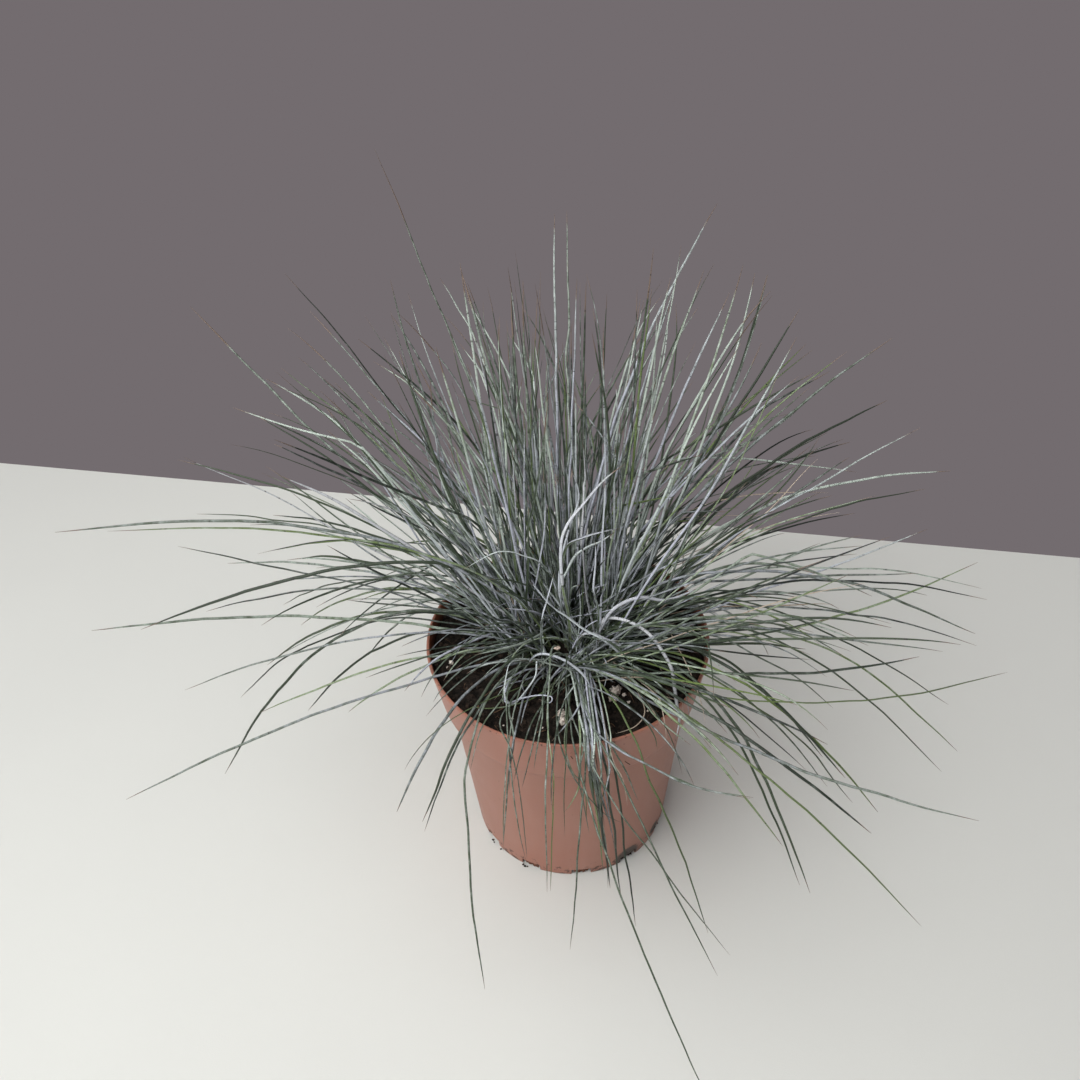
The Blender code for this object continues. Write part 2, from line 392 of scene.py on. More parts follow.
# %% Peat, crumb, fibre, grit and husk materials
ROUGH_STUFF = (
    ("peat", rgb(0.006, 0.005, 0.004), rgb(0.030, 0.022, 0.017), 400, 0.9, 1.2),
    ("peat crumb", rgb(0.009, 0.007, 0.006), rgb(0.055, 0.038, 0.028), 300, 0.95, 0.6),
    ("peat fibre", rgb(0.06, 0.035, 0.022), rgb(0.17, 0.105, 0.065), 500, 0.85, 0.1),
    ("white grit", rgb(0.95, 0.88, 0.80), rgb(0.42, 0.33, 0.27), 900, 0.85, 0.5),
    ("seed husk", rgb(0.85, 0.70, 0.60), rgb(0.55, 0.40, 0.31), 500, 0.6, 0.2),
)
DULL_SHINE = 0.15


def speckled_material(name, first, second, scale, roughness, relief_mm):
    """A rough finish that wavers between two colours."""
    made, shader, place = start_material(name)
    lumps = grain(place, scale, 5.0, 0.65)
    colour = place.mix(lumps.step(0.38, 0.68), first, second)
    plug(shader, Base_Color=colour, Normal=bumped(lumps, relief_mm * MM))
    plug(shader, Roughness=roughness, Specular_IOR_Level=DULL_SHINE)
    return made


PEAT, CRUMB, FIBRE, GRIT, HUSK = (speckled_material(*values) for values in ROUGH_STUFF)
print("rough finishes:", [values[0] for values in ROUGH_STUFF])


# %% [markdown]
# ### Peat in the drain slots
# The peat that shows in the drain slots has dried to a dusty brown in most of them. Towards the right
# it is painted dark, a painted shade on the side away from the light, and the crumbs that have dropped
# out are dark and damp. One material does all of it, because it goes from the dry to the dark colour
# by where the peat is.

# %% Slot peat material
FLAT = Vector((1, 1, 0))
DRY_PEAT = rgb(0.21, 0.105, 0.075)
# dark for the damp crumbs, and as painted shade for the peat in the right-hand slots
DAMP_AND_SHADED_PEAT = rgb(0.030, 0.023, 0.018)


def slot_peat_material():
    made, shader, place = start_material("slot peat")
    lumps = grain(place, 400, 5.0, 0.65)
    radius = place.vector("LENGTH", place.vector("MULTIPLY", place, FLAT), out=1)
    dropped = radius.step(45.45 * MM, 45.7 * MM)
    # painted shade: peat in the slots on the right, away from the light, goes dark
    darkened = place.maths("MAXIMUM", place.part("X").step(8 * MM, 20 * MM), dropped)
    darkened = place.maths("MAXIMUM", darkened, lumps.step(0.54, 0.62) * 0.6)
    plug(shader, Base_Color=place.mix(darkened, DRY_PEAT, DAMP_AND_SHADED_PEAT), Normal=bumped(lumps, 0.6 * MM))
    plug(shader, Roughness=0.95, Specular_IOR_Level=DULL_SHINE)
    return made


SLOT_PEAT = slot_peat_material()
print("materials:", [made.name for made in bpy.data.materials])


# %% [markdown]
# ## Geometry Nodes
# The leaves repeat hundreds of times and follow a rule, so a node tree grows them. `start_tree` makes a
# tree with named inputs. `grow` runs a tree on an object and keeps the result as a plain mesh.

# %% Start a tree, end it, and grow a piece with it
SOCKETS = {int: "NodeSocketInt", float: "NodeSocketFloat"}


def start_tree(name, **inputs):
    """A tree with these inputs, at their default values, and the wires that bring them in."""
    tree = bpy.data.node_groups.new(name, "GeometryNodeTree")
    for way in ("INPUT", "OUTPUT"):
        tree.interface.new_socket("Geometry", in_out=way, socket_type="NodeSocketGeometry")
    for label, value in inputs.items():
        socket = tree.interface.new_socket(label, in_out="INPUT", socket_type=SOCKETS[type(value)])
        socket.default_value = value
    start = tree.nodes.new("NodeGroupInput")
    return tree, {socket.name: Wire(tree, socket) for socket in start.outputs if socket.name}


def end_tree(shape, finish):
    """Realize the shape's instances, give it a material and send it out."""
    real = shape.node("GeometryNodeRealizeInstances", {0: shape})
    done = shape.node("GeometryNodeSetMaterial", {0: real, "Material": finish})
    connect(done, shape.tree.nodes.new("NodeGroupOutput").inputs[0])


def add_piece(name, mesh):
    mesh.name = name
    return add_object(name, mesh)


def settled_mesh(thing, modifier):
    """The plain mesh that a modifier makes of an object; the modifier then goes."""
    graph = bpy.context.evaluated_depsgraph_get()
    mesh = bpy.data.meshes.new_from_object(thing.evaluated_get(graph), depsgraph=graph)
    thing.modifiers.remove(modifier)
    return mesh


def grow(name, tree, start=None, **values):
    """The mesh that a tree makes of an object's data, as a piece at the origin."""
    carrier = add_object("carrier", start or bpy.data.meshes.new("carrier"))
    modifier = carrier.modifiers.new("grow", "NODES")
    modifier.node_group = tree
    for item in tree.interface.items_tree:
        if item.in_out == "INPUT" and item.name in values:
            modifier[item.identifier] = values[item.name]
    mesh = settled_mesh(carrier, modifier)
    bpy.data.objects.remove(carrier)
    return add_piece(name, mesh)


def triangles(piece):
    return sum(len(face.vertices) - 2 for face in piece.data.polygons)


# %% [markdown]
# ## The leaf's fold
# Cut across, a fescue leaf is a narrow V with thick sides. Sweeping that V along a path gives the leaf.
# The path's radius sets the width: full for most of the length, then a taper to a fine point. The V
# opens upwards, and each leaf is twisted by its own amount. A flat strip would vanish edge on.

# %% Sweep a fold along paths
FOLD_DEPTH = 1.25
GROOVE_SHARE = 0.5
TIP_SHARE = 0.10
TAPER = 9.0
SECTION_POINTS = 8
MOST_TWIST = 1.1


def random_value(wire, low, high, key, seed):
    """A random number between low and high, the same for the same key and seed."""
    sockets = {"ID": key, "Seed": seed, 2: low, 3: high}
    return wire.node("FunctionNodeRandomValue", sockets, out=1, data_type="FLOAT")


def store(shape, name, value):
    """Keep a number on each point of a path, where a material can read it."""
    sockets = {0: shape, "Name": name, "Value": value}
    return shape.node("GeometryNodeStoreNamedAttribute", sockets, data_type="FLOAT", domain="POINT")


def fold_section(wire):
    """The V, 2 m wide, as a closed outline with an even number of points."""
    sockets = {"Resolution": SECTION_POINTS, "Radius": 1.0}
    circle = wire.node("GeometryNodeCurvePrimitiveCircle", sockets, mode="RADIUS")
    turn = wire.node("GeometryNodeInputIndex") * (tau / SECTION_POINTS)
    across = wire.maths("COSINE", turn)
    inside = wire.maths("GREATER_THAN", wire.maths("SINE", turn), 0.01)
    depth = (1 - wire.maths("ABSOLUTE", across)) * (inside * (GROOVE_SHARE - 1) + 1)
    corner = wire.joined(across, depth * -FOLD_DEPTH)
    placed = wire.node("GeometryNodeSetPosition", {0: circle, "Position": corner})
    return store(placed, "groove", inside)


def folded_leaves(paths, leaf, along, given):
    """Leaves swept along paths. leaf tells them apart and along runs from foot to tip."""
    seed = given["Seed"]
    taper = 1 - along**TAPER * (1 - TIP_SHARE)
    own_width = random_value(paths, -1.0, 1.0, leaf, seed + 21) * given["Vary"] + 1
    tint = random_value(paths, given["Tint_from"], given["Tint_to"], leaf, seed + 22)
    paths = store(store(paths, "tint", tint), "along", along)
    normal = paths.node("GeometryNodeSetCurveNormal", {0: paths}, mode="Z_UP")
    twist = random_value(paths, -MOST_TWIST, MOST_TWIST, leaf, seed + 23) * (along + 0.35)
    tilted = paths.node("GeometryNodeSetCurveTilt", {0: normal, "Tilt": twist})
    half_width = taper * own_width * given["Width"] * 0.5
    sized = paths.node("GeometryNodeSetCurveRadius", {0: tilted, "Radius": half_width})
    radius = paths.node("GeometryNodeInputRadius")
    sockets = {0: sized, 1: fold_section(paths), "Scale": radius, "Fill Caps": True}
    swept = paths.node("GeometryNodeCurveToMesh", sockets)
    return paths.node("GeometryNodeSetShadeSmooth", {0: swept})


print("a leaf's section has", SECTION_POINTS, "points")


# %% [markdown]
# ## Long leaves
# The long leaves of the solid model are arcs from a foot on the tussock to a tip, given by a bearing
# and a lean at the foot and the bearing, reach and height of the tip. The same numbers are used here,
# so each fine leaf lies in its solid. Its path starts further in, at the heart of the tussock.

# %% Numbers of the long leaves
SOIL_TOP = 104.5 * MM
CROWN_RADIUS = 28 * MM
CROWN_HEIGHT = 20 * MM
CROWN_BOTTOM = SOIL_TOP + 0.3 * MM
ARCH = 0.5

LONG_LEAVES = {
    "left": (
        (198, 26, 185, 187, 190), (221, 22, 196, 159, 211), (190, 52, 185, 146, 178),
        (196, 20, 188, 167, 146), (177, 75, 187, 186, 146), (209, 45, 197, 153, 134),
        (174, 60, 182, 162, 34), (202, 80, 200, 186, 94), (199, 67, 195, 130, 107),
        (220, 60, 226, 100, 90), (233, 40, 233, 98, 92),
    ),
    "back": (
        (166, 45, 169, 156, 188), (158, 50, 157, 155, 239), (150, 30, 146, 128, 246),
        (139, 18, 132, 96, 293), (163, 32, 163, 124, 203), (110, 18, 110, 151, 208),
        (123, 20, 117, 81, 245), (97, 14, 89, 80, 262), (106, 33, 101, 63, 243), (81, 10, 81, 55, 247),
        (72, 34, 74, 79, 229), (64, 33, 65, 89, 223), (59, 12, 56, 124, 254),
    ),
    "right": (
        (51, 22, 52, 80, 244), (34, 51, 38, 107, 239), (41, 30, 44, 98, 231), (30, 40, 30, 111, 229),
        (22, 32, 21, 122, 216), (16, 31, 16, 133, 225), (10, 50, 10, 144, 191), (24, 49, 12, 167, 162),
        (-3, 68, -2, 141, 164), (-13, 80, -6, 159, 156), (-7, 32, -9, 163, 126),
    ),
    "corner": (
        (-41, 82, -15, 173, 124), (-28, 82, -29, 137, 158), (-18, 34, -18, 154, 110),
        (-13, 52, -13, 167, 68), (-18, 46, -23, 157, 86), (-52, 82, -43, 174, 136),
        (-49, 77, -41, 168, 58), (-48, 70, -40, 141, 90), (-29, 51, -30, 123, 85),
        (-61, 54, -50, 118, 84), (-38, 54, -45, 128, 51),
    ),
    "front": (
        (-83, 82, -63, 123, 141), (229, 56, 250, 116, 22), (-84, 55, -93, 94, 22),
        (-92, 76, -75, 170, 30), (-88, 56, -69, 134, 56), (-94, 68, -66, 131, 60),
        (-105, 31, -98, 94, 64), (-127, 51, -102, 97, 88), (-117, 52, -107, 97, 92),
    ),
}


def around(bearing, reach, height):
    """The point at a bearing in degrees, a distance from the pot's axis and a height."""
    return Vector((reach * cos(radians(bearing)), reach * sin(radians(bearing)), height))


def long_leaf_bow(bearing, lean, tip_bearing, reach, height):
    """The foot, knee and tip of a long leaf's arc."""
    facing = around(bearing, sin(radians(lean)), cos(radians(lean)))
    radii = Vector((CROWN_RADIUS, CROWN_RADIUS, CROWN_HEIGHT))
    stretched = radii * facing
    foot = radii * stretched / stretched.length + UP * CROWN_BOTTOM + facing * 0.3 * MM
    tip = around(tip_bearing, reach * MM, height * MM)
    return foot, foot + facing * (tip - foot).length * ARCH, tip


print("long leaves on each side:", {side: len(rows) for side, rows in LONG_LEAVES.items()})


# %% [markdown]
# ### Leaves along paths
# One curve can hold many splines, so all leaves of a piece share a curve and a tree. The tree resamples
# each spline, makes it waver by a slow noise that dies out at both ends, and sweeps the fold along it.

# %% Paths through a few points, and the tree that makes leaves of them
HALF = (0.5, 0.5, 0.5)


def path_curve(paths):
    """A curve with one smooth spline through each row of points."""
    curve = bpy.data.curves.new("path", "CURVE")
    curve.dimensions = "3D"
    for points in paths:
        spline = curve.splines.new("BEZIER")
        spline.bezier_points.add(len(points) - 1)
        spline.resolution_u = 12
        for number, (made, point) in enumerate(zip(spline.bezier_points, points)):
            before, after = points[max(number - 1, 0)], points[min(number + 1, len(points) - 1)]
            third = (after - before) / 6
            made.handle_left_type = made.handle_right_type = "FREE"
            made.co, made.handle_left, made.handle_right = point, point - third, point + third
    return curve


def path_leaf_tree(finish):
    """Grows a leaf along each spline."""
    tree, given = start_tree(
        "leaves along paths", Width=1.0 * MM, Vary=0.25, Waver=1.0 * MM, Steps=36, Seed=1,
        Tint_from=0.0, Tint_to=1.0,
    )
    wire, seed = given["Geometry"], given["Seed"]
    paths = wire.node("GeometryNodeResampleCurve", {0: wire, "Count": given["Steps"]}, mode="COUNT")
    leaf = wire.node("GeometryNodeCurveOfPoint", out="Curve Index")
    along = wire.node("GeometryNodeSplineParameter", out="Factor")
    place = wire.node("GeometryNodeInputPosition")
    drifted = wire.vector("ADD", place, wire.joined(seed * 3.7 + leaf * 5.1, seed * 1.3))
    lively = wire.node("ShaderNodeTexNoise", {"Vector": drifted, "Scale": 26.0, "Detail": 2.0}, out=1)
    swing = wire.vector("SUBTRACT", lively, HALF).scaled(along * (1 - along) * given["Waver"] * 9)
    paths = wire.node("GeometryNodeSetPosition", {0: paths, "Offset": swing})
    end_tree(folded_leaves(paths, leaf, along, given), finish)
    return tree


LEAF_ON_PATH = path_leaf_tree(LEAF)


def grow_on_paths(
    name, paths, width, waver, steps, seed, tints=(0.0, 1.0), vary=0.25, tree=LEAF_ON_PATH
):
    """A piece with a leaf along each path. Its width and waver are given in millimetres."""
    return grow(
        name, tree, path_curve(paths), Width=width * MM, Waver=waver * MM, Steps=steps, Seed=seed,
        Tint_from=tints[0], Tint_to=tints[1], Vary=vary,
    )


print("leaves along paths:", len(LEAF_ON_PATH.nodes), "nodes")


# %% [markdown]
# ### The long leaves, one by one
# Each long leaf replaces its solid, so it is a piece of its own. Its tint comes from a short list for
# its side, because neighbours differ, and some at the back and right are paler than the rest.

# %% Grow the long leaves
LEAD_IN = -0.10
PATH_POINTS = 7
LONG_LEAF_WIDTH = {"left": 1.2, "back": 1.0, "right": 1.1, "corner": 1.0, "front": 0.75}
LONG_LEAF_TINTS = {
    "left": (0.50, 0.41, 0.45, 0.18, 0.53, 0.48, 0.32),
    "back": (0.45, 0.22, 0.60, 0.30, 0.53),
    "right": (0.32, 0.53, 0.18, 0.41, 0.50),
    "corner": (0.30, 0.18, 0.41, 0.22, 0.50, 0.27),
    "front": (0.35, 0.37, 0.385, 0.34, 0.36),
}
PALE_LONG_LEAVES = {"back": (6, 8, 10, 12, 13), "right": (1, 3, 7, 8, 9)}
PALE_TINTS = (0.74, 0.84, 0.765)


def bow_point(foot, knee, tip, share):
    """The point at a share of the way along an arc; a negative share is before its foot."""
    return foot * (1 - share) ** 2 + knee * 2 * share * (1 - share) + tip * share**2


def bow_path(shape):
    """Points along a long leaf's arc, from inside the tussock to its tip."""
    shares = [LEAD_IN + (1 - LEAD_IN) * step / (PATH_POINTS - 1) for step in range(PATH_POINTS)]
    return [bow_point(*long_leaf_bow(*shape), share) for share in shares]


long_leaves = []
for side, shapes in LONG_LEAVES.items():
    for number, shape in enumerate(shapes, 1):
        tints = PALE_TINTS if number in PALE_LONG_LEAVES.get(side, ()) else LONG_LEAF_TINTS[side]
        tint = tints[len(long_leaves) % len(tints)]
        piece = grow_on_paths(
            f"fine_{side}_{number:02d}", [bow_path(shape)], LONG_LEAF_WIDTH[side], 2.2, 40,
            len(long_leaves) + 1, (tint, tint),
        )
        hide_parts(f"leaf_{side}_{number:02d}")
        long_leaves.append(piece)
print("long leaves:", len(long_leaves), "with", sum(map(triangles, long_leaves)), "triangles")


# %% [markdown]
# ### Further long leaves
# Between those long leaves lie others that reach less far. Their solids are the locks of the tussock,
# so one piece holds them all.

# %% Grow the further leaves
FURTHER_LEAVES = (
    (166, 60, 165, 155, 124), (170, 62, 175, 155, 120), (180, 62, 173, 155, 59), (176, 60, 171, 140, 77),
    (184, 62, 177, 120, 62), (200, 62, 195, 96, 95), (160, 60, 154, 140, 107), (150, 58, 154, 155, 107),
    (155, 55, 151, 155, 123), (158, 55, 162, 170, 143), (165, 62, 154, 155, 72), (160, 66, 157, 140, 70),
    (170, 62, 160, 100, 68), (142, 35, 138, 140, 218), (148, 40, 142, 155, 190),
    (152, 48, 147, 155, 157), (84, 16, 86, 100, 255), (38, 42, 42, 155, 186), (30, 52, 35, 155, 147),
    (5, 45, 11, 155, 157), (20, 40, 24, 155, 180), (34, 50, 30, 155, 149), (64, 35, 61, 140, 197),
    (4, 52, -9, 160, 150), (-2, 56, -12, 160, 152), (-6, 60, -14, 160, 133), (-12, 62, -20, 112, 100),
    (-30, 60, -28, 138, 66), (-20, 60, -23, 112, 76), (-40, 58, -46, 124, 55), (-35, 60, -30, 128, 72),
    (-30, 62, -30, 117, 76), (-72, 60, -63, 110, 38), (-80, 62, -76, 92, 30), (-86, 64, -80, 75, 34),
    (-82, 64, -77, 78, 30), (-130, 60, -133, 90, 68),
)
further_leaves = grow_on_paths(
    "further_leaves", [bow_path(shape) for shape in FURTHER_LEAVES], 1.0, 3.0, 40, 71, (0.0, 0.65)
)
print("further leaves:", len(FURTHER_LEAVES), "with", triangles(further_leaves), "triangles")


# %% [markdown]
# ## The bulk of the leaves
# Fescue grows in small shoots, and each shoot has a few leaves that part as they rise. The tree below
# scatters shoots over the heart of the clump, gives each leaf its own lean, length and droop, and walks
# it forward step by step: at each step the leaf leans a little further over, as its own weight bends
# it, and it sways. Adding up the steps gives the path. A leaf that meets the peat or the pot's rim is
# lifted onto it. A hair system would be quicker to set up, but its hairs have no fold.

# %% Tree of the leaf groups
RIM_TOP = 110 * MM
RIM_RADIUS = 60 * MM
FOOT_LOOSE = 1.8 * MM
OVER_PEAT, OVER_TABLE = 0.8 * MM, 1.2 * MM
DEGREE = pi / 180


def leaf_group_tree(finish):
    """Grows leaves in shoots. Bearings, leans, droop, cross and curl are in degrees."""
    tree, given = start_tree(
        "leaf group", Leaves=100, Shoots=30, Seed=1, Steps=28, Width=0.92 * MM, Vary=0.32,
        Heart=24 * MM, Bearing_from=0.0, Bearing_to=360.0, Lean_from=10.0, Lean_to=60.0,
        Length_from=90 * MM, Length_to=170 * MM, Droop=50.0, Loose=12.0, Sway=9.0, Kinked=0.12,
        Cross=90.0, Curl=30.0, Tint_from=0.0, Tint_to=1.0,
    )
    wire, seed = given["Geometry"], given["Seed"]

    def chance_of(key, number, low=-1.0, high=1.0):
        """A random number for each leaf or shoot, from a draw with this number."""
        return random_value(wire, low, high, key, seed + number)

    def between(name, share):
        """From the first to the second of two inputs."""
        low, high = given[name + "_from"], given[name + "_to"]
        return low + (high - low) * share

    dots = wire.node("GeometryNodePoints", {"Count": given["Leaves"]})
    line = wire.node("GeometryNodeCurvePrimitiveLine", {"End": UP})
    copies = wire.node("GeometryNodeInstanceOnPoints", {"Points": dots, "Instance": line})
    paths = wire.node("GeometryNodeRealizeInstances", {0: copies})
    paths = wire.node("GeometryNodeResampleCurve", {0: paths, "Count": given["Steps"]}, mode="COUNT")
    leaf = wire.node("GeometryNodeCurveOfPoint", out="Curve Index")
    along = wire.node("GeometryNodeSplineParameter", out="Factor")

    shoot = wire.maths("FLOOR", chance_of(leaf, 1, 0.0, given["Shoots"]))
    shoot_bearing = chance_of(shoot, 3, given["Bearing_from"], given["Bearing_to"])
    lean = between("Lean", chance_of(shoot, 2, 0.0) ** 0.65) + chance_of(leaf, 4) * given["Loose"]
    spread = chance_of(leaf, 5) * given["Loose"]
    bearing = shoot_bearing + spread * 60 / (wire.maths("ABSOLUTE", lean) + 22)
    length = between("Length", chance_of(leaf, 6, 0.0))
    foot_bearing = shoot_bearing + chance_of(shoot, 15) * given["Cross"]
    reach = given["Heart"] * wire.maths("SQRT", chance_of(shoot, 7, 0.0))
    foot_x, foot_y = (
        reach * wire.maths(wave, foot_bearing * DEGREE)
        + chance_of(leaf, number, -FOOT_LOOSE, FOOT_LOOSE)
        for number, wave in ((8, "COSINE"), (9, "SINE"))
    )
    foot = wire.joined(foot_x, foot_y, SOIL_TOP - 1 * MM)

    spot = wire.joined(leaf * 7.31, along * 2.4, seed * 3.1)
    lively = wire.node("ShaderNodeTexNoise", {"Vector": spot, "Scale": 1.0, "Detail": 1.0}, out=1)
    turning, leaning = ((lively.part(axis) - 0.5) * given["Sway"] for axis in ("X", "Y"))
    kinked = wire.maths("LESS_THAN", chance_of(leaf, 11, 0.0), given["Kinked"])
    kink = (along - chance_of(leaf, 10, 0.3, 0.8)).step(-0.02, 0.02) * kinked
    weight = chance_of(leaf, 12, -0.1, 1.25)
    rise = along.step(0.0, 0.22) * 0.45 + 0.55
    tip_over = along**1.7 * given["Droop"] * weight * wire.maths("SINE", lean * DEGREE + 0.25)
    now_lean = lean * rise + tip_over + leaning * 3 + kink * chance_of(leaf, 13, -35.0, 55.0)
    curl = chance_of(leaf, 16) * given["Curl"] * along**1.3
    now_bearing = bearing + curl + turning * 4 * along + kink * chance_of(leaf, 14, -40.0, 40.0)
    tilt, turn = now_lean * DEGREE, now_bearing * DEGREE
    stride = length / given["Steps"]
    sideways = wire.maths("SINE", tilt)
    ahead = wire.joined(
        sideways * wire.maths("COSINE", turn) * stride,
        sideways * wire.maths("SINE", turn) * stride,
        wire.maths("COSINE", tilt) * stride,
    )
    walked = wire.node(
        "GeometryNodeAccumulateField", {"Value": ahead, "Group ID": leaf}, "Trailing",
        data_type="FLOAT_VECTOR", domain="POINT",
    )
    place = wire.vector("ADD", foot, walked)
    radius = wire.vector("LENGTH", wire.vector("MULTIPLY", place, FLAT), out=1)
    bed = (radius / RIM_RADIUS) ** 2 * (RIM_TOP - SOIL_TOP) + SOIL_TOP + OVER_PEAT
    over_rim = (radius - RIM_RADIUS).step(0.5 * MM, 4 * MM)
    least = bed * (1 - over_rim) + over_rim * OVER_TABLE
    height = wire.maths("MAXIMUM", place.part("Z"), least)
    lifted = wire.joined(place.part("X"), place.part("Y"), height)
    rooted = wire.mix(along.step(0.0, 0.05), place, lifted, kind="VECTOR")
    paths = wire.node("GeometryNodeSetPosition", {0: paths, "Position": rooted})
    end_tree(folded_leaves(paths, leaf, along, given), finish)
    return tree


LEAF_GROUP, DRY_LEAF_GROUP = leaf_group_tree(LEAF), leaf_group_tree(DRY_LEAF)
print("leaf group:", len(LEAF_GROUP.nodes), "nodes")


# %% [markdown]
# ### The groups
# The clump stands up at the back, reaches out to both sides, and droops at the front, with short leaves
# at its heart, so each part is a group with its own numbers. They are the leaves, shoots, seed, radius
# of the heart, bearings, leans, lengths and droop, in millimetres and degrees. What else differs from
# the tree's own values is named.

# %% Grow the leaf groups
def group(leaves, shoots, seed, heart, bearings, leans, lengths, droop, **others):
    """The inputs of a leaf group."""
    values = dict(Leaves=leaves, Shoots=shoots, Seed=seed, Heart=heart * MM, Droop=float(droop))
    for name, pair, unit in (("Bearing", bearings, 1.0), ("Lean", leans, 1.0), ("Length", lengths, MM)):
        values[name + "_from"], values[name + "_to"] = (end * unit for end in pair)
    return {**values, **others}


LEAF_GROUPS = {
    "upright_leaves": group(
        205, 76, 11, 27, (10, 172), (3, 44), (90, 172), 32, Cross=75.0, Kinked=0.25, Loose=18.0,
        Sway=12.0, Curl=45.0, Width=0.97 * MM, Tint_from=0.18,
    ),
    "thin_leaves": group(
        46, 36, 41, 28, (70, 172), (10, 36), (125, 166), 34, Cross=80.0, Kinked=0.3, Loose=12.0,
        Sway=14.0, Curl=60.0, Width=0.6 * MM, Tint_from=0.18, Tint_to=0.5,
    ),
    "left_leaves": group(27, 22, 12, 29, (138, 192), (42, 72), (80, 150), 32, Tint_to=0.65),
    "right_leaves": group(
        57, 40, 13, 29, (-26, 45), (36, 72), (80, 158), 46, Sway=13.0, Curl=40.0, Tint_to=0.7
    ),
    "corner_leaves": group(
        31, 22, 17, 26, (-52, -20), (42, 64), (95, 160), 55, Cross=60.0, Width=0.88 * MM, Tint_to=0.55
    ),
    "front_leaves": group(
        5, 5, 14, 30, (-160, -60), (48, 74), (55, 95), 95, Cross=60.0, Curl=50.0, Width=0.62 * MM,
        Tint_to=0.5,
    ),
    "short_leaves": group(
        16, 14, 18, 30, (-190, -10), (35, 78), (30, 70), 90, Cross=60.0, Sway=16.0, Curl=80.0,
        Width=0.62 * MM, Tint_to=0.6,
    ),
    "heart_leaves": group(
        100, 50, 15, 29, (-20, 200), (8, 70), (30, 80), 80, Cross=180.0, Sway=14.0, Curl=80.0,
        Width=0.8 * MM, Tint_to=0.85,
    ),
    "core_leaves": group(
        36, 18, 22, 13, (-190, 10), (8, 66), (35, 90), 70, Cross=180.0, Sway=12.0, Curl=60.0,
        Width=0.8 * MM, Tint_to=0.8,
    ),
    "inner_leaves": group(
        60, 34, 20, 24, (-170, -10), (5, 60), (25, 60), 90, Cross=180.0, Sway=14.0, Curl=80.0,
        Width=0.75 * MM, Tint_to=0.8,
    ),
    "back_leaves": group(40, 22, 19, 29, (40, 140), (40, 72), (60, 130), 45, Tint_to=0.8),
}
DRY_LEAVES = group(
    24, 22, 26, 30, (-50, 190), (30, 76), (60, 140), 60, Sway=14.0, Kinked=0.5, Width=0.55 * MM
)

groups = [grow(name, LEAF_GROUP, **values) for name, values in LEAF_GROUPS.items()]
groups.append(grow("dry_leaves", DRY_LEAF_GROUP, **DRY_LEAVES))
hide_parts("tussock")
print("leaf groups:", {piece.name: triangles(piece) for piece in groups})
groups.append(further_leaves)


# %% [markdown]
# ## Leaves that cross the heart
# Some leaves lie across the others and catch the eye: pale arcs over the heart, leaves that curl back
# on themselves, and leaves and straws that hang over the front of the rim. They follow no rule, so each
# is given by the points it passes, in millimetres, and grows along a smooth curve through them.

# %% Points of the arcs, the looped leaves, the hanging leaves and the straws
BROAD_ARCS_MM = (
    ((1, -7, 110), (0, -14, 135), (-2, -23, 158), (-2, -17, 174), (1, -12, 180), (7, -7, 185),
     (15, -2, 192), (23, 1, 197)),
    ((2, -12, 107), (4, -17, 123), (8, -21, 131), (15, -22, 128), (24, -22, 123), (40, -20, 120),
     (53, -18, 114)),
    ((8, -10, 108), (14, -16, 130), (17, -18, 140), (23, -16, 143), (30, -14, 143), (40, -12, 139),
     (53, -7, 140)),
    ((8, -12, 108), (13, -15, 121), (14, -16, 132), (17, -17, 135), (23, -21, 137), (29, -25, 136),
     (33, -29, 134), (36, -33, 131), (39, -37, 126), (40, -40, 119), (41, -43, 111), (42, -45, 104),
     (41, -46, 93)),
)
SLIM_ARCS_MM = (
    ((-1, 4, 108), (-4, -6, 143), (-10, -12, 161), (-17, -14, 167), (-22, -16, 171), (-28, -18, 172),
     (-39, -24, 170)),
    ((-1, -6, 108), (-3, -8, 142), (-1, -2, 157), (3, 4, 169), (6, 8, 178), (3, 10, 190)),
    ((-3, -2, 140), (0, -5, 162), (6, -9, 170), (14, -7, 171), (21, -5, 171)),
    ((0, -8, 108), (-3, -8, 142), (0, -4, 149), (4, -1, 155), (10, 1, 158), (14, 2, 159), (20, 4, 162)),
    ((24, -22, 107), (20, -25, 122), (13, -23, 129), (6, -20, 132), (-1, -16, 136), (-6, -13, 138),
     (-9, -11, 141), (-12, -8, 144), (-15, -5, 146)),
    ((11, -16, 107), (12, -17, 137), (10, -19, 152), (11, -15, 163), (11, -12, 171)),
    ((-11, -21, 107), (-11, -25, 133), (-10, -26, 146), (-8, -23, 152), (-5, -18, 161)),
    ((-19, -18, 107), (-13, -24, 123), (-4, -31, 128), (5, -35, 122), (9, -38, 111)),
)
LOOPED_LEAVES_MM = (
    ((-10, -22, 107), (-13, -29, 125), (-14, -35, 123), (-18, -39, 119), (-23, -43, 116),
     (-26, -44, 122), (-25, -39, 128), (-23, -35, 131), (-17, -33, 130)),
    ((-20, -20, 107), (-25, -34, 118), (-26, -42, 116), (-19, -41, 117), (-13, -40, 117), (-8, -42, 118),
     (-9, -44, 117), (-13, -41, 116)),
)
GREEN_LEAVES_MM = (
    ((9, -14, 107), (14, -20, 113), (27, -34, 117), (36, -46, 119), (45, -58, 118), (58, -66, 116)),
    ((10, -12, 107), (14, -20, 115), (21, -33, 114), (27, -45, 117), (31, -54, 118), (37, -60, 116),
     (43, -66, 115)),
)
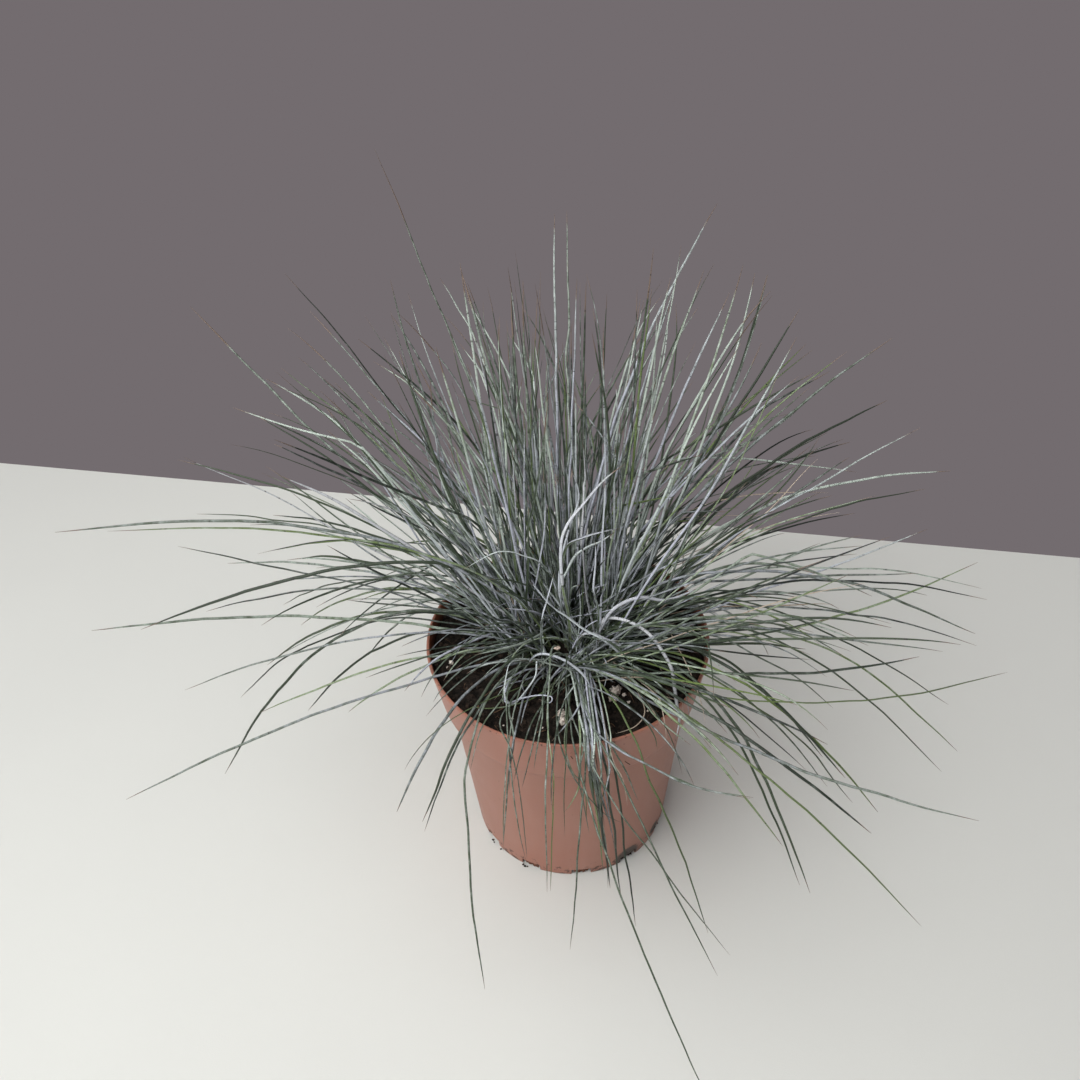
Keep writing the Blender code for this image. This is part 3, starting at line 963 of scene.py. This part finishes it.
HANGING_LEAVES_MM = (
    ((-14, -20, 107), (-24, -47, 121), (-23, -62, 118), (-26, -66, 100), (-30, -66, 59)),
    ((-16, -20, 107), (-28, -51, 117), (-24, -66, 116), (-22, -68, 95), (-21, -66, 44)),
    ((-6, -22, 107), (-10, -49, 118), (-9, -68, 113), (-9, -69, 95), (-12, -68, 24)),
    ((-12, -16, 107), (-16, -22, 117), (-23, -34, 118), (-28, -44, 119), (-34, -52, 117),
     (-37, -60, 115), (-40, -66, 106)),
    ((-8, -18, 107), (-10, -24, 116), (-18, -36, 116), (-21, -50, 118), (-23, -62, 119), (-25, -66, 108),
     (-26, -66, 93)),
    ((-6, -18, 107), (-7, -24, 115), (-11, -38, 117), (-12, -52, 119), (-14, -62, 116), (-16, -65, 103)),
    ((-8, -18, 107), (-9, -26, 115), (-11, -42, 117), (-14, -58, 119), (-17, -66, 112), (-21, -66, 94)),
    ((-2, -24, 107), (-2, -34, 113), (-3, -50, 112), (-4, -64, 114), (-1, -67, 102), (3, -67, 95),
     (4, -65, 69)),
    ((5, -26, 107), (7, -36, 115), (11, -54, 116), (14, -66, 115), (19, -70, 104), (24, -68, 85)),
    ((2, -26, 107), (2, -40, 114), (2, -62, 116), (1, -66, 94), (-2, -66, 83), (-5, -66, 77)),
    ((8, -26, 107), (10, -36, 116), (5, -54, 118), (3, -67, 119), (1, -68, 101), (2, -67, 88),
     (5, -64, 59)),
    ((2, -14, 107), (-3, -24, 113), (-6, -42, 114), (-6, -62, 117), (-1, -69, 103), (6, -68, 86),
     (12, -68, 76), (18, -68, 71)),
)
STRAWS_MM = (
    ((8, -22, 107), (11, -42, 114), (12, -62, 118), (14, -70, 112), (17, -69, 102), (19, -68, 89),
     (20, -66, 79)),
    ((16, -20, 107), (22, -29, 113), (26, -37, 113), (28, -45, 110), (24, -51, 109), (16, -54, 109)),
    ((14, -18, 107), (20, -27, 115), (27, -38, 114), (31, -46, 113), (34, -53, 110)),
)
CROSSING_LEAVES = {
    "broad_arcs": (BROAD_ARCS_MM, 1.45, 0.5, 48, 91, (0.95, 1.0), 0.1),
    "slim_arcs": (SLIM_ARCS_MM, 1.12, 0.5, 44, 95, (0.87, 0.95)),
    "looped_leaves": (LOOPED_LEAVES_MM, 0.85, 0.3, 60, 93, (0.75, 0.92)),
    "green_leaves": (GREEN_LEAVES_MM, 1.0, 0.8, 40, 97, (0.39, 0.405)),
    "hanging_leaves": (HANGING_LEAVES_MM, 0.72, 0.8, 40, 94, (0.32, 0.43)),
}
print("crossing leaves:", {name: len(values[0]) for name, values in CROSSING_LEAVES.items()})

# %% Grow the crossing leaves, and the straws with the dry finish
def in_metres(paths):
    return [[Vector(point) * MM for point in path] for path in paths]


for name, (points, *numbers) in CROSSING_LEAVES.items():
    groups.append(grow_on_paths(name, in_metres(points), *numbers))
STRAW_ON_PATH = path_leaf_tree(DRY_LEAF)
groups.append(grow_on_paths("front_straws", in_metres(STRAWS_MM), 0.5, 0.8, 32, 96, tree=STRAW_ON_PATH))
print("triangles:", {piece.name: triangles(piece) for piece in groups[-6:]})


# %% [markdown]
# ### Hanging sheaf
# At the front a loose sheaf hangs down to the pot's foot. Some of its leaves are given by their points.
# The others cross a middle path, each in its own way, because leaves that were merely shifted would lie
# side by side like a comb.

# %% Grow the hanging sheaf
TRACED_SHEAF_MM = (
    ((4, -12, 107), (7, -18, 117), (9, -24, 118), (11, -33, 117), (12, -45, 118), (13, -60, 120),
     (13, -67, 118), (12, -69, 103), (10, -68, 88), (9, -67, 74)),
    ((1, -13, 107), (2, -22, 113), (3, -34, 114), (4, -51, 115), (3, -66, 119), (4, -69, 110),
     (7, -68, 93), (9, -67, 76)),
    ((6, -14, 107), (8, -26, 114), (8, -42, 115), (6, -63, 119), (7, -70, 110), (9, -69, 96),
     (10, -68, 81), (11, -67, 67)),
    ((5, -12, 107), (6, -22, 116), (10, -36, 115), (11, -54, 118), (11, -67, 118), (12, -71, 108),
     (11, -69, 93), (11, -68, 85)),
    ((4, -14, 107), (6, -24, 115), (7, -42, 116), (8, -65, 119), (9, -71, 107), (9, -69, 83),
     (11, -67, 58), (12, -66, 40), (13, -64, 18)),
    ((2, -12, 107), (2, -24, 114), (6, -58, 121), (15, -70, 120), (25, -84, 127), (34, -96, 133),
     (43, -104, 138), (54, -112, 144)),
)
SHEAF_MM = (
    (5, -14, 107), (6, -24, 115), (7, -42, 117), (8, -63, 119), (8, -69, 105), (9, -68, 86),
    (11, -66, 62), (13, -64, 30),
)
SHEAF_RIM = 3
SHEAF_LEAVES = 7
chance = random.Random(7)


def sheaf_paths():
    """Leaves about the middle path. Each drops only a share of the way below the rim."""
    for _ in range(SHEAF_LEAVES):
        first = Vector((chance.uniform(-8, 6), chance.uniform(-3, 3), chance.uniform(-1, 4)))
        last = Vector((chance.uniform(-4, 4), chance.uniform(-2, 0), 0))
        end = chance.uniform(0.5, 1.0)
        path = []
        for number, point in enumerate(SHEAF_MM):
            share = number / (len(SHEAF_MM) - 1)
            drop = SHEAF_MM[SHEAF_RIM][2] - point[2] if number > SHEAF_RIM else 0
            lifted = Vector(point) + UP * drop * (1 - end)
            path.append((lifted + first.lerp(last, share)) * MM)
        yield path


sheaf_leaves = in_metres(TRACED_SHEAF_MM) + list(sheaf_paths())
groups.append(grow_on_paths("hanging_sheaf", sheaf_leaves, 0.85, 1.0, 44, 92, (0.4, 0.89)))
print("sheaf:", len(sheaf_leaves), "leaves with", triangles(groups[-1]), "triangles")


# %% [markdown]
# ## Pot
# The pot is moulded in one shot: a tapering wall that steps out into a collar, a flat floor, and a ring
# of drain slots at the corner of the base. Turning its profile round the axis gives the wall, and
# blocks set round the base cut the slots. Nearly two hundred steps make the turn look round.

# %% Turn the pot and cut its drain slots
POT_STEPS = 192
SLOTS = 12
FIRST_SLOT = 3
SLOT_BLOCK = Vector((6, 9, 8)) * MM
BASE_RADIUS = 45 * MM
SHARP_ANGLE = 38
POT_PROFILE_MM = (
    (0, 1.8), (43.4, 1.8), (43.7, 2.1), (51.0, 84.0), (51.3, 85.6), (54.6, 86.4), (54.95, 87.4),
    (58.55, 107.6), (58.7, 109.5), (58.85, 109.86), (59.2, 110), (59.5, 110), (59.86, 109.86),
    (60, 109.5), (59.75, 107.8), (56.25, 86.6), (55.9, 85.3), (55.2, 84.7), (53.0, 84.3), (52.5, 83.4),
    (45.1, 1.2), (45.0, 0.4), (44.6, 0), (0, 0),
)


def mesh_of(bm, name):
    """A bmesh as a mesh."""
    mesh = bpy.data.meshes.new(name)
    bm.to_mesh(mesh)
    bm.free()
    return mesh


def turned(name, profile, steps):
    """A solid turned about Z from a profile of (radius, height) that starts and ends on the axis."""
    bm = bmesh.new()
    points = [bm.verts.new((radius, 0, height)) for radius, height in profile]
    edges = [bm.edges.new(pair) for pair in zip(points, points[1:])]
    bmesh.ops.spin(
        bm, geom=points + edges, axis=UP, cent=(0, 0, 0), steps=steps, angle=tau, use_merge=True
    )
    bmesh.ops.remove_doubles(bm, verts=bm.verts, dist=0.005 * MM)
    bmesh.ops.recalc_face_normals(bm, faces=bm.faces)
    return mesh_of(bm, name)


def slot_bearing(slot):
    return FIRST_SLOT + slot * 360 / SLOTS


def slot_blocks():
    bm = bmesh.new()
    for slot in range(SLOTS):
        block = bmesh.ops.create_cube(bm, size=1)["verts"]
        bmesh.ops.scale(bm, verts=block, vec=SLOT_BLOCK)
        bmesh.ops.translate(bm, verts=block, vec=(BASE_RADIUS, 0, 0))
        turn = Matrix.Rotation(radians(slot_bearing(slot)), 3, "Z")
        bmesh.ops.rotate(bm, verts=block, cent=(0, 0, 0), matrix=turn)
    return mesh_of(bm, "slot blocks")


def cut(piece, cutter_mesh):
    """Take the cutter out of the piece."""
    cutter = add_object("cutter", cutter_mesh)
    modifier = piece.modifiers.new("cut", "BOOLEAN")
    modifier.object = cutter
    modifier.solver = "EXACT"
    piece.data = settled_mesh(piece, modifier)
    bpy.data.objects.remove(cutter)


profile = [(radius * MM, height * MM) for radius, height in POT_PROFILE_MM]
pot = add_piece("nursery_pot", turned("nursery_pot", profile, POT_STEPS))
cut(pot, slot_blocks())
pot.data.materials.append(POT)
pot.data.materials.append(POT_INNER_WALL)
for face in pot.data.polygons:
    outward = face.center * FLAT
    face.material_index = int(face.normal.dot(outward) < -0.5 * outward.length)
pot.data.shade_smooth()
pot.data.set_sharp_from_angle(angle=radians(SHARP_ANGLE))
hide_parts("pot")
print("pot:", triangles(pot), "triangles")


# %% [markdown]
# ## Peat
# The peat fills the pot to a few millimetres under its rim. Its top is a fine round grid, lifted by
# noise of three sizes, lumps, crumbs and grains, because bump alone would leave its outline flat.

# %% The peat's top and sides
PEAT_EDGE = 57.4 * MM
PEAT_RINGS = 64
PEAT_SPOKES = 220
PEAT_RELIEF = ((9 * MM, 1.0 * MM), (3.6 * MM, 0.9 * MM), (1.3 * MM, 0.45 * MM))
PEAT_SIDES_MM = ((54.4, 86.8), (50.6, 84.9), (43.1, 2.1))


def peat_height(x, y):
    """The height of the broken top, from each pair of spacing and size in the relief."""
    spots = ((Vector((x, y, 3 * spacing)) / spacing, size) for spacing, size in PEAT_RELIEF)
    return SOIL_TOP + sum(size * noise.noise(spot) for spot, size in spots)


def peat_ring(bm, radius, height=None):
    """A ring of points at one height, or else on the broken top."""
    spots = [around(360 * spoke / PEAT_SPOKES, radius, height or 0) for spoke in range(PEAT_SPOKES)]
    if height is None:
        for spot in spots:
            spot.z = peat_height(spot.x, spot.y)
    return [bm.verts.new(spot) for spot in spots]


def piece_of(bm, name, finish):
    """A smooth piece made of a bmesh."""
    mesh = mesh_of(bm, name)
    mesh.shade_smooth()
    mesh.materials.append(finish)
    return add_piece(name, mesh)


bm = bmesh.new()
centre = bm.verts.new((0, 0, peat_height(0, 0)))
rings = [peat_ring(bm, PEAT_EDGE * ring / PEAT_RINGS) for ring in range(1, PEAT_RINGS + 1)]
rings += [peat_ring(bm, radius * MM, height * MM) for radius, height in PEAT_SIDES_MM]
for spoke in range(PEAT_SPOKES):
    after = (spoke + 1) % PEAT_SPOKES
    bm.faces.new((centre, rings[0][spoke], rings[0][after]))
    for inner, outer in zip(rings, rings[1:]):
        bm.faces.new((inner[spoke], outer[spoke], outer[after], inner[after]))
bm.faces.new(reversed(rings[-1]))
bmesh.ops.recalc_face_normals(bm, faces=bm.faces)
peat = piece_of(bm, "peat_bed", PEAT)
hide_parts("soil")
print("peat:", triangles(peat), "triangles")


# %% [markdown]
# ### Crumbs and fibres on the peat
# Loose crumbs and bits of moss stem lie on the surface. A tree scatters points over the top faces and
# puts a lumpy pebble or a bent strand on each, turned and sized at random.

# %% Trees for crumbs and fibres
def on_top(given):
    """Points scattered over the faces that look up."""
    surface = given["Geometry"]
    upward = surface.node("GeometryNodeInputNormal").part("Z")
    sockets = {0: surface, "Selection": surface.maths("GREATER_THAN", upward, 0.3)}
    sockets.update((name, given[name]) for name in ("Density", "Seed"))
    return surface.node("GeometryNodeDistributePointsOnFaces", sockets)


def scatter_shapes(given, dots, shape, low, high):
    """Copies of a shape on points, turned any way and scaled between low and high."""
    key, seed = dots.node("GeometryNodeInputIndex"), given["Seed"]
    turn = dots.joined(*(random_value(dots, 0.0, tau, key, seed + 31 + axis) for axis in range(3)))
    size = random_value(dots, 0.0, 1.0, key, seed + 35) ** 2 * (high - low) + low
    sockets = {"Points": dots, "Instance": shape, "Rotation": turn, "Scale": size}
    return dots.node("GeometryNodeInstanceOnPoints", sockets)


def crumb_tree():
    tree, given = start_tree("crumbs", Density=100000.0, Seed=1)
    dots = on_top(given)
    ball = dots.node("GeometryNodeMeshIcoSphere", {"Radius": 0.5, "Subdivisions": 2})
    place = dots.node("GeometryNodeInputPosition")
    lumps = dots.node("ShaderNodeTexNoise", {"Vector": place, "Scale": 2.3, "Detail": 1.0}, out=1)
    dent = dots.vector("SUBTRACT", lumps, HALF).scaled(1.1)
    lumpy = dots.node("GeometryNodeSetPosition", {0: ball, "Offset": dent})
    end_tree(scatter_shapes(given, dots, lumpy, 0.5 * MM, 2.6 * MM), CRUMB)
    return tree


def fibre_tree():
    tree, given = start_tree("fibres", Density=20000.0, Seed=1)
    dots = on_top(given)
    sockets = {"Resolution": 6, "Start": (-0.5, 0, 0), "Middle": (0, 0.35, 0.1), "End": (0.5, 0, -0.05)}
    bow = dots.node("GeometryNodeCurveQuadraticBezier", sockets)
    section = dots.node("GeometryNodeCurvePrimitiveCircle", {"Resolution": 4, "Radius": 0.028})
    strand = dots.node("GeometryNodeCurveToMesh", {0: bow, 1: section, "Fill Caps": True})
    end_tree(scatter_shapes(given, dots, strand, 2.5 * MM, 9 * MM), FIBRE)
    return tree


crumbs = grow("peat_crumbs", crumb_tree(), peat.data, Density=130000.0, Seed=5)
fibres = grow("peat_fibres", fibre_tree(), peat.data, Density=16000.0, Seed=6)
print("crumbs and fibres:", triangles(crumbs), triangles(fibres), "triangles")


# %% [markdown]
# ### Grit and husk
# A few pale grains lie on the peat in front, and a seed husk has dropped on the leaves. Each is a ball
# of its own, dented by noise, and placed singly because such pale spots catch the eye.

# %% Grains of grit and the husk
GRAINS = (
    (18.2, -29.0, 4.1), (17.0, -33.4, 3.3), (21.4, -31.0, 1.5), (23.0, -34.4, 1.1), (-4.4, -40.6, 3.2),
    (-4.0, -44.2, 3.0), (-0.6, -42.4, 1.4), (-24.0, -40.5, 0.9), (-27.5, -44.0, 0.7), (-49.5, -9.0, 1.8),
    (-51.0, -11.5, 1.0), (8.0, -46.5, 0.9), (30.0, -40.0, 0.8), (-12.0, -46.0, 0.8),
)
HUSK_PLACE = Vector((-4.9, -19, 121.6)) * MM
HUSK_SIZE = Vector((2.7, 1.7, 1.3)) * MM


def dented_ball(bm, centre, stretch, seed, dent=0.35, fineness=3):
    """A ball with its own dents, which never reaches below the table."""
    ball = bmesh.ops.create_icosphere(bm, subdivisions=fineness, radius=0.5)["verts"]
    for vert in ball:
        bump = 1 + dent * noise.noise(vert.co * 4 + Vector((seed, 0, 0)))
        vert.co = centre + Vector(part * size for part, size in zip(vert.co * bump, stretch))
        vert.co.z = max(vert.co.z, 0.02 * MM)


bm = bmesh.new()
for number, (x, y, size) in enumerate(GRAINS):
    centre = Vector((x * MM, y * MM, peat_height(x * MM, y * MM) + 0.4 * size * MM))
    dented_ball(bm, centre, Vector((1, 0.85, 0.9)) * size * MM, 7.3 * number, 0.9)
grit = piece_of(bm, "white_grit", GRIT)

bm = bmesh.new()
dented_ball(bm, HUSK_PLACE, HUSK_SIZE, 3)
husk = piece_of(bm, "seed_husk", HUSK)
print("grit and husk:", triangles(grit), triangles(husk), "triangles")


# %% [markdown]
# ### Peat in the drain slots
# Peat swells out into the slots, and a few crumbs of it have dropped on the table. Small dented balls
# look as broken as the real thing, where one block in each slot would look like a plug.

# %% Peat that shows in the drain slots, and crumbs of it that have dropped out
BALLS_IN_SLOT = 28
BALL_SPREAD = 4.2
BALL_SIZE_REACH_HEIGHT_MM = ((1.5, 2.5), (42.3, 43.5), (0.5, 3.0))
DROPPED_CRUMBS = (
    (-147, 45.6, 0.9), (-145.4, 45.9, 0.6), (-139, 45.8, 0.7), (-122, 45.8, 0.8), (-120.4, 46.2, 0.9),
    (-119.2, 45.8, 0.6),
)

bm = bmesh.new()
for slot in range(SLOTS):
    for _ in range(BALLS_IN_SLOT):
        bearing = slot_bearing(slot) + chance.uniform(-BALL_SPREAD, BALL_SPREAD)
        size, reach, height = (chance.uniform(*pair) for pair in BALL_SIZE_REACH_HEIGHT_MM)
        centre = around(bearing, reach * MM, height * MM)
        dented_ball(bm, centre, Vector((1, 1, 0.85)) * size * MM, chance.uniform(0, 90), 1.3, 2)
for bearing, reach, size in DROPPED_CRUMBS:
    centre = around(bearing, reach * MM, 0.4 * size * MM)
    dented_ball(bm, centre, Vector((1.2, 0.9, 0.8)) * size * MM, bearing, 1.3, 2)
slot_peat = piece_of(bm, "slot_peat", SLOT_PEAT)
print("slot peat:", triangles(slot_peat), "triangles")


# %% [markdown]
# ## Fix the pieces to the body
# The plant has no joints, so everything is on its one body.

# %% Bodies
for piece in (*long_leaves, *groups, pot, peat, crumbs, fibres, grit, husk, slot_peat):
    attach(piece, "root")
print("pieces of foliage:", len(long_leaves) + len(groups), "and 7 of pot and peat")


# %% [markdown]
# ## Floor and light
# The plant stands on a pale cloth-covered table, whose straight back edge shows behind it, with a dim
# wall beyond. The light comes mostly from the left: a wide ceiling light over the back left, a window at
# the front left, and two small lamps that lift the shadows in the heart. Round area lights make all of
# it soft, which a sun would not.

# %% Table, wall colour and lights
TABLE_EDGE = (Vector((-397.5, 310.5, 0)) * MM, Vector((318.3, 157.1, 0)) * MM)
TABLE_REACH = 3.0
TABLE_COLOUR = rgb(0.645, 0.658, 0.628)
TABLE_SHADE = rgb(0.605, 0.617, 0.592)
WALL_COLOUR = rgb(0.171, 0.150, 0.159)
LIGHTS = (
    ("window", (-1.1, -1.2, 1.35), (0, 0, 0.08), 2.3, 11.0, (1.0, 1.0, 0.985)),
    ("lamp", (-0.28, -0.38, 0.62), (-0.03, -0.15, 0), 0.6, 2.9, (1.0, 1.0, 0.99)),
    ("ceiling", (-0.9, 0.3, 1.6), (-0.2, 0.05, 0), 3.1, 22.5, (1.0, 1.0, 0.98)),
    ("top lamp", (0.05, -0.1, 1.0), (0.02, 0, 0), 1.0, 1.8, (1.0, 1.0, 0.99)),
)


def make_table():
    left, right = TABLE_EDGE
    edge = (right - left).normalized()
    front = Vector((edge.y, -edge.x, 0))
    corners = [left - edge * TABLE_REACH, right + edge * TABLE_REACH]
    corners += [corners[1] + front * TABLE_REACH, corners[0] + front * TABLE_REACH]
    mesh = bpy.data.meshes.new("table")
    mesh.from_pydata(corners, [], [(3, 2, 1, 0)])
    made, shader, place = start_material("table cloth")
    colour = place.mix(grain(place, 6, 2.0).step(0.3, 0.7) * 0.35, TABLE_COLOUR, TABLE_SHADE)
    weave = bumped(grain(place, 1800, 2.0), 0.15 * MM, 0.3)
    plug(shader, Base_Color=colour, Normal=weave, Roughness=0.95)
    mesh.materials.append(made)
    table = add_piece("table", mesh)


def area_light(name, place, target, size, power, colour):
    data = bpy.data.lights.new(name, "AREA")
    data.shape = "DISK"
    data.size = size
    data.energy = power
    data.color = colour
    light = add_object(name, data)
    light.location = place
    light.rotation_euler = (Vector(target) - Vector(place)).to_track_quat("-Z", "Y").to_euler()


make_table()
for values in LIGHTS:
    area_light(*values)

world = bpy.data.worlds.new("world")
world.use_nodes = True
world.node_tree.nodes["Background"].inputs["Color"].default_value = WALL_COLOUR
bpy.context.scene.world = world
bpy.context.scene.view_settings.view_transform = "Standard"
print("lights:", [values[0] for values in LIGHTS])


# %% [markdown]
# ## The end
# The box of the solid model is the part's size, so the fine pieces have to stay inside it.
